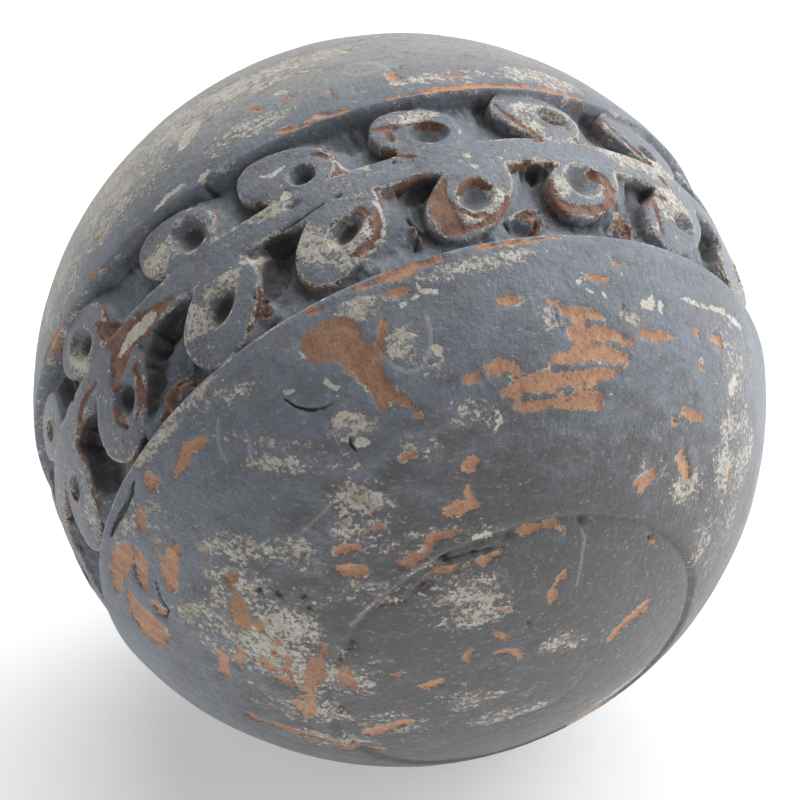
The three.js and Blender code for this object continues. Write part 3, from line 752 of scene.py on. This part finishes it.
def line_marks(outward, paths, reach=1.7):
    """How far beside the nearest line each place lies, the line's half width there and its depth, in mm."""
    side = np.full(len(outward), reach, dtype=np.float32)
    width = np.full(len(outward), -1.0, dtype=np.float32)
    cut = np.zeros(len(outward), dtype=np.float32)
    nearest = np.full(len(outward), reach, dtype=np.float32)
    for depth, path in paths:
        for step, (start, end) in enumerate(zip(path, path[1:])):
            first = np.array(on_ball(*start[:2]), dtype=np.float32)
            last = np.array(on_ball(*end[:2]), dtype=np.float32)
            line = last - first
            across = np.cross(first + last, line)
            across /= np.linalg.norm(across)
            half = np.linalg.norm(line) / 2 + reach / RADIUS
            near = np.flatnonzero(outward @ ((first + last) / 2) > 1 - half * half)
            along = (outward[near] - first) @ line / (line @ line)
            share = np.clip(along, 0, 1)
            spot = first + line * share[:, None]
            spot /= np.linalg.norm(spot, axis=1, keepdims=True)
            away = np.linalg.norm(outward[near] - spot, axis=1) * RADIUS
            past = np.zeros(len(near)) if step else np.maximum(-along, 0)
            if step == len(path) - 2:
                past = past + np.maximum(along - 1, 0)
            closer = away < nearest[near]
            kept = near[closer]
            nearest[kept] = away[closer]
            side[kept] = (outward[kept] @ across) * RADIUS
            thin = start[2] + (end[2] - start[2]) * share - past * np.linalg.norm(line) * RADIUS
            width[kept] = thin[closer]
            cut[kept] = depth
    return side, width, cut


def oval_share(outward, longitude, latitude, half_length, half_height, turn=0, reach=1.5):
    """The places near an oval, and how far out in it each lies: 0 at its centre, 1 on its edge."""
    parts = directions(longitude, latitude, turn, 1)
    place, along, across = (np.array(part, dtype=np.float32) for part in parts)
    half = max(half_length, half_height) * reach / RADIUS
    near = np.flatnonzero(outward @ place > 1 - half * half / 2)
    u = outward[near] @ along * RADIUS / half_length
    v = outward[near] @ across * RADIUS / half_height
    return near, np.hypot(u, v)


def grain_waves(outward, size, seed):
    """A gentle unevenness of about one size, mostly between -1 and 1."""
    rng = np.random.default_rng(seed)
    waves = rng.normal(0, 1, (12, 3))
    lengths = np.linalg.norm(waves, axis=1)
    waves *= (2 * math.pi * RADIUS / size * rng.uniform(0.6, 1.6, 12) / lengths)[:, None]
    return np.sin(outward @ waves.T.astype(np.float32) + rng.uniform(0, 2 * math.pi, 12)).sum(axis=1) / 3.5


def damaged(outward, height):
    """The heights after ridges are left, paint has chipped away, and knots, knocks and cracks have opened."""
    uneven = grain_waves(outward, 2.2, 5)
    rough = grain_waves(outward, 1.1, 6)
    bare = mark_distance(outward, WOOD_CHIPS + FAR_CHIPS)
    cream = mark_distance(outward, CREAM_PATCHES)
    for longitude, latitude, half_length, half_height, turn, below in RIDGES:
        near, share = oval_share(outward, longitude, latitude, half_length, half_height, turn)
        left = -below - smooth_step(share, 0.45, 1.15) * 3 + (uneven[near] + rough[near]) * 0.22
        height[near] = np.maximum(height[near], left)
    height -= CHIP_DEPTH * (1 - smooth_step(bare + uneven * 0.12, -0.25, 0.1))
    height -= CREAM_DEPTH * (1 - smooth_step(cream + uneven * 0.12, -0.25, 0.1))
    for longitude, latitude, half_length, half_height, turn, depth, _ in POCKETS:
        near, share = oval_share(outward, longitude, latitude, half_length, half_height, turn)
        sunk = smooth_step(-height[near], 1.7, 2.6)
        height[near] -= depth * sunk * np.maximum(1 - (share + uneven[near] * 0.1) ** 2, 0)
    for longitude, latitude, half_length, half_height, turn, depth in HOLES:
        near, share = oval_share(outward, longitude, latitude, half_length, half_height, turn)
        share = share + uneven[near] * 0.12
        height[near] -= depth * np.maximum(1 - share ** 2, 0)
    for depth, path in CRACKS:
        if depth > CUT_CRACK:
            height -= depth * (1 - smooth_step(mark_distance(outward, [path], 1.0), -0.25, 0.15))
    return height


def level_turn(longitude, latitude):
    """The turn that makes a mark lie level on the ball as it rests."""
    _, east, north = directions(longitude, latitude, 0, 1)
    level = LYING.transposed() @ Vector((-1, 0, 0))
    return math.degrees(math.atan2(level.dot(north), level.dot(east)))


def far_side_wear():
    """The same kinds of wear, sparser, for the side that lies away from the worst weather."""
    rng = random.Random(23)
    worst = directions(5, 30, 0, 1)[0]
    chips, specks = [], []
    while len(chips) < FAR_CHIP_COUNT:
        longitude, sine = rng.uniform(-180, 180), rng.uniform(-1, 1)
        latitude = math.degrees(math.asin(sine))
        if directions(longitude, latitude, 0, 1)[0].dot(worst) > 0.0 or -15 < latitude < 21:
            continue
        width, chip = rng.uniform(0.3, 1.3), []
        for _ in range(rng.randint(1, 4)):
            chip.append((longitude, latitude, width * rng.uniform(0.5, 1.1)))
            longitude += rng.uniform(1.2, 2.4) / max(0.15, math.cos(math.radians(latitude)))
            latitude = max(-87, min(87, latitude + rng.uniform(-1.2, 1.2)))
        chips.append(chip)
        for _ in range(rng.randint(0, 2)):
            specks.append((longitude + rng.uniform(-9, 9), latitude + rng.uniform(-5, 5),
                           rng.uniform(3, 10), rng.uniform(1.2, 4), rng.uniform(0.6, 1.0)))
    return chips, specks


FAR_CHIPS, FAR_SPECKS = far_side_wear()


def spread_share(outward, marks, solid, gone):
    """How strong the strongest of some soft-edged ovals is at each place, from 0 to 1."""
    share = np.zeros(len(outward), dtype=np.float32)
    for longitude, latitude, half_length, half_height, turn, most in marks:
        near, out = oval_share(outward, longitude, latitude, half_length, half_height, turn)
        share[near] = np.maximum(share[near], most * (1 - smooth_step(out, solid, gone)))
    return share


def lathe_places(mesh):
    """Each point's outward direction in the lathe's frame, and its distance from the ball's centre in mm."""
    places = np.empty(len(mesh.vertices) * 3, dtype=np.float32)
    mesh.vertices.foreach_get("co", places)
    places = places.reshape(-1, 3) / MM
    places[:, 2] -= CENTRE_HEIGHT
    places = places @ np.array(LYING, dtype=np.float32)
    out = np.linalg.norm(places, axis=1)
    return places / out[:, None], out


def wear_shape(mesh):
    """Cuts the listed marks into the mesh, and keeps the flat spot flat."""
    outward, out = lathe_places(mesh)
    out = RADIUS + damaged(outward, out - RADIUS)
    places = (outward * out[:, None]) @ np.array(LYING, dtype=np.float32).T
    places[:, 2] = np.maximum(places[:, 2] + CENTRE_HEIGHT, 0)
    mesh.vertices.foreach_set("co", (places * MM).astype(np.float32).ravel())
    mesh.update()


def note_wear(mesh):
    """Keeps with the mesh what its paint has to know of the listed marks."""
    outward, _ = lathe_places(mesh)
    side, width, cut = line_marks(outward, CRACKS)
    pits = [[(hole[0], hole[1], min(hole[2], hole[3]) * 0.6)] for hole in HOLES]
    aged = [(*oval, 0, most) for *oval, most in AGED]
    specks = [
        (*oval, level_turn(*oval[:2]) if oval[1] > LEVEL_FROM else 0, most)
        for *oval, most in SPECKLED + FAR_SPECKS
    ]
    # Each pocket's darkening: painted shade and gathered grime.
    pocket_grime_shade_ovals = [(*oval, most) for *oval, _, most in POCKETS]
    notes = {
        "bare": mark_distance(outward, WOOD_CHIPS + FAR_CHIPS),
        "aged": spread_share(outward, aged, 0.7, 1.3),
        "cream": mark_distance(outward, CREAM_PATCHES),
        "line_side": side,
        "line_width": width,
        "line_depth": cut,
        "pit": mark_distance(outward, pits),
        "speckle": spread_share(outward, specks, 0.6, 1.3),
        "pocket_grime_shade": spread_share(outward, pocket_grime_shade_ovals, 0.5, 1.4),
    }
    for name, values in notes.items():
        mesh.attributes.new(name, "FLOAT", "POINT").data.foreach_set("value", values.astype(np.float32))


def plain_mesh(carrier):
    """The evaluated object as a plain mesh of its own."""
    graph = bpy.context.evaluated_depsgraph_get()
    return bpy.data.meshes.new_from_object(carrier.evaluated_get(graph), depsgraph=graph)


def carved_ball(finish):
    """The ball, carved and thinned to the triangles that its carving needs."""
    marks = leaf_marks()
    carrier = bpy.data.objects.new("carved_ball_blank", bpy.data.meshes.new("blank"))
    bpy.context.scene.collection.objects.link(carrier)
    modifier = carrier.modifiers.new("carving", "NODES")
    modifier.node_group = carving_tree(finish)
    values = {
        "Leaf marks": marks,
        "Radius": RADIUS,
        "Centre height": CENTRE_HEIGHT,
        "Leaf depth": LEAF_DEPTH,
        "Ground depth": GROUND_DEPTH,
        "Eye depth": EYE_DEPTH,
    }
    for item in modifier.node_group.interface.items_tree:
        if item.in_out == "INPUT":
            modifier[item.identifier] = values[item.name]
    mesh = plain_mesh(carrier)
    carrier.modifiers.remove(modifier)
    wear_shape(mesh)
    dense = bpy.data.objects.new("carved_painted_ball", mesh)
    bpy.context.scene.collection.objects.link(dense)
    triangles = len(mesh.polygons) * 2
    thin = dense.modifiers.new("thin", "DECIMATE")
    thin.ratio = KEPT_TRIANGLES / triangles
    thin.use_collapse_triangulate = True
    thinned = plain_mesh(dense)
    dense.modifiers.remove(thin)
    dense.data = thinned
    note_wear(thinned)
    bpy.data.meshes.remove(mesh)
    bpy.data.objects.remove(carrier)
    bpy.data.objects.remove(marks)
    return dense


# ---------------------------------------------------------------- the finish

BLUE_DARK = (0.122, 0.142, 0.175, 1)
BLUE_LIGHT = (0.240, 0.270, 0.315, 1)
# Pale dusty grey, also a painted highlight over the top.
PALE_GREY_AND_TOP_HIGHLIGHT = (0.43, 0.41, 0.375, 1)
LAVENDER_GREY = (0.205, 0.196, 0.222, 1)
# A grimy layer, also the painted shade over the lower cap.
DIRT_FILM_AND_LOW_SHADE = (0.092, 0.083, 0.078, 1)
HAZE = (0.34, 0.32, 0.29, 1)
THIN_PAINT = (0.185, 0.140, 0.130, 1)
BLUE_DEEP = (0.095, 0.110, 0.135, 1)
CREAM = (0.56, 0.515, 0.42, 1)
CHALK = (0.62, 0.61, 0.57, 1)
OCHRE_CREAM = (0.47, 0.41, 0.26, 1)
WOOD_DEEP = (0.36, 0.180, 0.110, 1)
WOOD_BRIGHT = (0.64, 0.380, 0.240, 1)
WOOD_PALE = (0.60, 0.40, 0.27, 1)
WOOD_OLD = (0.13, 0.067, 0.050, 1)
PORE = (0.075, 0.040, 0.028, 1)
# Near-black grime, also the painted shade in the carving's recesses.
GRIME_AND_SHADE = (0.042, 0.039, 0.040, 1)


def paint_material():
    """Wood under a cream ground under blue-grey paint, each worn through where the carving stands out."""
    material = bpy.data.materials.new("worn_paint")
    material.use_nodes = True
    material.node_tree.nodes.clear()
    n = Nodes(material.node_tree)

    # Places on the ball in mm in the lathe's frame, and drawn out round the axis or along the wood.
    unturn = LYING.transposed()
    own = n.add("ShaderNodeTexCoord", None, None, "Object")
    sockets = {
        "Vector": own,
        "Location": unturn @ Vector((0, 0, -CENTRE_HEIGHT)),
        "Rotation": unturn.to_euler(),
        "Scale": (1 / MM, 1 / MM, 1 / MM),
    }
    place = n.add("ShaderNodeMapping", {"vector_type": "POINT"}, sockets)
    x, y, z = n.split(place)
    out = n.vector("LENGTH", place, out="Value")
    height = out - RADIUS
    latitude = n.math("ARCSINE", z / out) * RADIUS
    turned = n.joined(x * 0.3, y * 0.3, latitude)
    rows = n.vector("MULTIPLY", own, (0.5 / MM, 1 / MM, 1 / MM))
    along_wood = n.joined(x, y, z * 0.1)

    raised, eye, from_rim = (n.attribute(name) for name in ("raised", "eye", "from_rim"))
    in_band = n.ease(from_rim, -0.3, 0.3)
    broad = n.noise(place, 0.06, 2)
    middling = n.noise(place, 0.45, 4, 0.6)
    fine = n.noise(place, 1.8, 3, 0.65)
    ragged = n.noise(place, 0.8, 4, 0.65) * 0.7 + n.noise(turned, 1.4, 2) * 0.3

    # Wood shows in the chips and along worn edges.
    feathered = n.noise(rows, 0.55, 4, 0.7)
    grains = n.noise(place, 2.6, 3, 0.6)
    chip = n.attribute("bare") + ragged * 0.8 + feathered * 1.4 + fine * 0.5 + grains * 0.5 - 0.1
    leaf_edge = n.ease(abs(raised + 0.15), 0.75, 0.1)
    eye_edge = n.ease(abs(eye - 1.04), 0.28, 0.03)
    edge = n.most(leaf_edge, eye_edge * 0.95) * in_band
    edge = n.most(edge, n.ease(abs(from_rim + 0.1), 0.6, 0.1) * 0.75)
    wear = edge + broad * 0.9 + middling * 1.3 + fine * 0.45
    wall = n.ease(height, -3.4, -2.4) * n.ease(abs(raised - 0.25), 0.6, 0.1) * in_band
    striped = n.noise(n.joined(x, y, z * 0.15), 1.6, 2) + wall * 0.5 + broad
    wood = n.most(n.ease(chip, 0.06, -0.06), n.ease(wear, 1.32, 1.42))
    wood = n.most(wood, wall * n.ease(striped, 0.62, 0.75))

    # Cream ground shows grainily beyond the wood, in patches, and in rows of specks.
    clump = n.noise(n.scaled(rows, 0.25), 1.0, 3, 0.6)
    share = n.attribute("speckle") + in_band * n.ease(raised, 0.3, -0.2, 0.0, 0.4)
    share = n.least(share + n.ramp(latitude, -12.0, -35.0, 0.0, 0.4), 1.0)
    groups = share * 1.15 - 0.3 + clump * 0.95 + broad * 0.3
    grain = n.noise(place, 1.5, 4, 0.7)
    streaks = n.noise(n.scaled(rows, 1.3), 1.0, 3, 0.6)
    fringe = n.noise(place, 0.35, 3) * 1.6 + fine * 0.5 - 0.2
    cream = n.most(n.ease(chip - n.most(fringe, 0.0), 0.05, -0.05), n.ease(wear + fine * 0.3, 1.0, 1.1))
    cream = n.most(cream, n.ease(n.attribute("cream") + ragged, 0.06, -0.06))
    speck = grain * 0.85 + streaks * 0.6 + groups * 0.6
    cream = n.most(cream, n.ease(speck, 0.42, 0.5))
    cream = cream * n.ease(n.noise(place, 2.6, 2), 0.42, 0.3, 0.25, 1.0)
    haze = n.ease(grain * 0.9 + streaks * 0.6 + groups * 0.7, 0.22, 0.6, 0.0, 0.55)
    thin = n.ease(n.noise(n.scaled(rows, 0.5), 1.0, 5, 0.7) + groups * 0.4, 0.08, 0.45, 0.0, 0.5)
    patch = n.ease(n.attribute("cream") + ragged * 1.2 + fine * 0.4, 0.06, -0.06)
    wood = wood * (1 - patch)

    # The paint: cloudy, streaked by the brush, with a grimy layer in places that deepens towards the lower
    # cap as painted shade.
    cloud = broad * 0.8 + n.noise(n.scaled(turned, 0.4), 1.0, 4, 0.65) * 0.6
    cloud = cloud + n.noise(along_wood, 0.6, 3) * 0.3
    paint = n.mix(n.ramp(cloud * 0.8 + fine * 0.3, -0.5, 0.5), BLUE_DARK, BLUE_LIGHT)
    paint = n.mix(n.ease(n.noise(place, 0.13, 3), 0.0, 0.4, 0.0, 0.55), paint, LAVENDER_GREY)
    # Darker towards the lower cap: painted shade as well as grime.
    film_and_low_shade = n.noise(n.scaled(rows, 0.3), 1.0, 4, 0.7) + n.ramp(latitude, 32.0, 62.0, 0.0, 0.7)
    film_and_low_shade = n.ease(film_and_low_shade, -0.1, 0.7, 0.0, 0.82)
    paint = n.mix(film_and_low_shade, paint, DIRT_FILM_AND_LOW_SHADE)
    # Paler towards the top as the ball lies: dust and bleaching, and partly a painted highlight where the top
    # catches the light.
    upward = n.dot(rows, (0.0, 0.0, 1.0))
    pale = n.ease(latitude, -12.0, -30.0) * n.ease(upward + broad * 12, 55.0, 95.0, 0.12, 0.6)
    paint = n.mix(pale, paint, PALE_GREY_AND_TOP_HIGHLIGHT)
    paint = n.mix(n.ease(n.noise(n.scaled(rows, 1.6), 1.0, 3, 0.6), 0.1, 0.6, 0.0, 0.4), paint, CHALK)
    paint = n.mix(n.ease(n.noise(place, 1.0, 4, 0.65), 0.0, 0.45, 0.0, 0.5), paint, BLUE_DEEP)
    paint = n.mix(thin, paint, THIN_PAINT)
    paint = n.mix(haze, paint, HAZE)

    ground_tone = n.mix(n.ease(n.noise(place, 0.35, 3), -0.3, 0.4), CREAM, CHALK)
    ground_tone = n.mix(n.ease(n.noise(place, 0.22, 2), 0.12, 0.4, 0.0, 0.8), ground_tone, OCHRE_CREAM)
    ground_tone = n.mix(n.ease(fine, 0.0, 0.4, 0.0, 0.6), ground_tone, LAVENDER_GREY)

    pores = n.noise(along_wood, 3.2, 3, 0.65)
    stripes = n.noise(along_wood, 1.6, 3, 0.6)
    timber = n.noise(along_wood, 0.5, 4) * 0.6 + stripes * 0.5 + fine * 0.3 + broad * 0.5
    timber = n.mix(n.ramp(timber, -0.45, 0.45), WOOD_DEEP, WOOD_BRIGHT)
    timber = n.mix(in_band * n.ease(middling + stripes * 0.6, -0.4, 0.5, 0.6, 1.0), timber, WOOD_OLD)
    timber = n.mix(n.ease(grains + middling * 0.3, 0.1, 0.45, 0.0, 0.6), timber, WOOD_OLD)
    timber = n.mix(n.attribute("aged") * n.ease(middling, 0.5, -0.5, 0.25, 0.6), timber, WOOD_OLD)
    timber = n.mix(n.ease(pores, 0.1, 0.5, 0.0, 0.85), timber, PORE)
    timber = n.mix(n.ease(pores, -0.15, -0.5, 0.0, 0.5), timber, WOOD_PALE)

    worn_cream = cream * n.ease(n.noise(place, 1.1, 3), -0.5, 0.3, 0.5, 1.0)
    tone = n.mix(n.most(worn_cream, patch), paint, ground_tone)
    tone = n.mix(wood, tone, timber)

    # Painted shade with some grime darkens the deep corners by the walls, the listed pockets and the eyes;
    # cracks and pits are painted dark, and dark specks lie among the cream ones.
    corner_grime_shade = n.ease(height, -2.2, -3.4) * n.ease(raised + middling * 0.8, 2.4, 0.2)
    tone = n.mix(corner_grime_shade * 0.8, tone, GRIME_AND_SHADE)
    # The listed pockets: painted shade and gathered grime.
    pocket_grime_shade = n.attribute("pocket_grime_shade") * n.ease(height + middling * 0.4, -1.35, -2.3)
    tone = n.mix(n.ease(pocket_grime_shade + middling * 0.25, 0.05, 0.75, 0.0, 0.88) * in_band, tone, GRIME_AND_SHADE)
    # Painted shade inside the leaf eyes.
    tone = n.mix(in_band * n.ease(eye + middling * 0.3, 0.9, 0.3) * 0.25, tone, GRIME_AND_SHADE)
    line = n.ease(abs(n.attribute("line_side")) - n.attribute("line_width") * (1 + middling), 0.06, -0.06)
    pit = n.ease(n.attribute("pit") + ragged * 0.5, 0.12, -0.15)
    score = n.ease(abs(n.attribute("line_side")) - n.attribute("line_width") * 2.5 + fine * 0.3, 0.1, -0.1)
    tone = n.mix(score * n.ease(n.attribute("line_depth"), 0.3, 0.2) * 0.2, tone, CHALK)
    dark_line = line * n.ease(n.attribute("line_depth") + middling * 0.3, 0.35, 0.65)
    tone = n.mix(n.most(dark_line, pit) * 0.85, tone, GRIME_AND_SHADE)
    dots = n.ease(n.noise(place, 1.9, 2) + groups * 0.12 + corner_grime_shade * 0.1 + in_band * 0.1, 0.44, 0.52)
    tone = n.mix(dots * 0.75, tone, GRIME_AND_SHADE)

    # A chip's step, the open grain and the paint's own roughness. A bump is worked out three times over,
    # so it has few terms.
    relief = n.ease(chip, -0.06, 0.06, 0.0, 0.12) + stripes * -0.04 + n.noise(place, 1.0, 3, 0.7) * 0.12
    relief = relief - n.ease(n.noise(place, 1.9, 2), 0.44, 0.52, 0.0, 0.15)
    shader = n.tree.nodes.new("ShaderNodeBsdfPrincipled")
    shader.inputs["Sheen Weight"].default_value = 0.25
    shader.inputs["Sheen Roughness"].default_value = 0.4
    n.feed(shader.inputs["Base Color"], tone)
    n.feed(shader.inputs["Roughness"], 0.58 + n.most(wood, cream) * 0.2 + middling * 0.12)
    n.feed(shader.inputs["Normal"], n.add("ShaderNodeBump", None, {"Distance": MM, "Height": relief}))
    output = n.tree.nodes.new("ShaderNodeOutputMaterial")
    n.tree.links.new(shader.outputs[0], output.inputs[0])
    return material


# ---------------------------------------------------------------- floor, light and camera

CAMERA_DISTANCE = 10 * RADIUS * MM
CAMERA_ELEVATION = 30
BALL_SHARE = 0.9175
SENSOR = 36.0
FLOOR_HALF = 3.0


def floor():
    mesh = bpy.data.meshes.new("floor")
    corners = [(-1, -1), (1, -1), (1, 1), (-1, 1)]
    mesh.from_pydata([(x * FLOOR_HALF, y * FLOOR_HALF, 0) for x, y in corners], [], [(0, 1, 2, 3)])
    made = bpy.data.objects.new("floor", mesh)
    bpy.context.scene.collection.objects.link(made)
    material = bpy.data.materials.new("pale_floor")
    material.use_nodes = True
    shader = material.node_tree.nodes["Principled BSDF"]
    shader.inputs["Base Color"].default_value = (0.9, 0.9, 0.9, 1)
    shader.inputs["Roughness"].default_value = 0.9
    shader.inputs["Emission Color"].default_value = (1, 1, 1, 1)
    shader.inputs["Emission Strength"].default_value = 0.36
    mesh.materials.append(material)


def soft_light(name, direction, distance, size, power):
    """A square soft box that looks at the ball from a direction."""
    centre = Vector((0, 0, CENTRE_HEIGHT * MM))
    light = bpy.data.lights.new(name, "AREA")
    light.size = size
    light.energy = power
    made = bpy.data.objects.new(name, light)
    made.location = centre + Vector(direction).normalized() * distance
    made.rotation_euler = (centre - made.location).to_track_quat("-Z", "Y").to_euler()
    bpy.context.scene.collection.objects.link(made)


def studio():
    scene = bpy.context.scene
    world = bpy.data.worlds.new("studio")
    world.use_nodes = True
    back = world.node_tree.nodes["Background"]
    back.inputs["Color"].default_value = (1, 1, 1, 1)
    back.inputs["Strength"].default_value = 0.17
    scene.world = world
    soft_light("overhead", (-0.05, 0.4, 1.0), 1.2, 1.0, 9.5)
    soft_light("right", (1.0, 0.3, 0.7), 1.0, 1.4, 14)
    scene.view_settings.view_transform = "Standard"


def camera():
    centre = Vector((0, 0, CENTRE_HEIGHT * MM))
    data = bpy.data.cameras.new("camera")
    data.sensor_width = SENSOR
    data.lens = SENSOR * BALL_SHARE / 2 / math.tan(math.asin(RADIUS * MM / CAMERA_DISTANCE))
    made = bpy.data.objects.new("camera", data)
    tilt = math.radians(CAMERA_ELEVATION)
    made.location = centre + Vector((0, -math.cos(tilt), math.sin(tilt))) * CAMERA_DISTANCE
    made.rotation_euler = (centre - made.location).to_track_quat("-Z", "Y").to_euler()
    bpy.context.scene.collection.objects.link(made)
    bpy.context.scene.camera = made
    data.clip_start = 0.01


# ---------------------------------------------------------------- the scene

camera()
studio()
floor()
finish = paint_material()
ball = carved_ball(finish)
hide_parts(BALL)
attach(ball, "root")
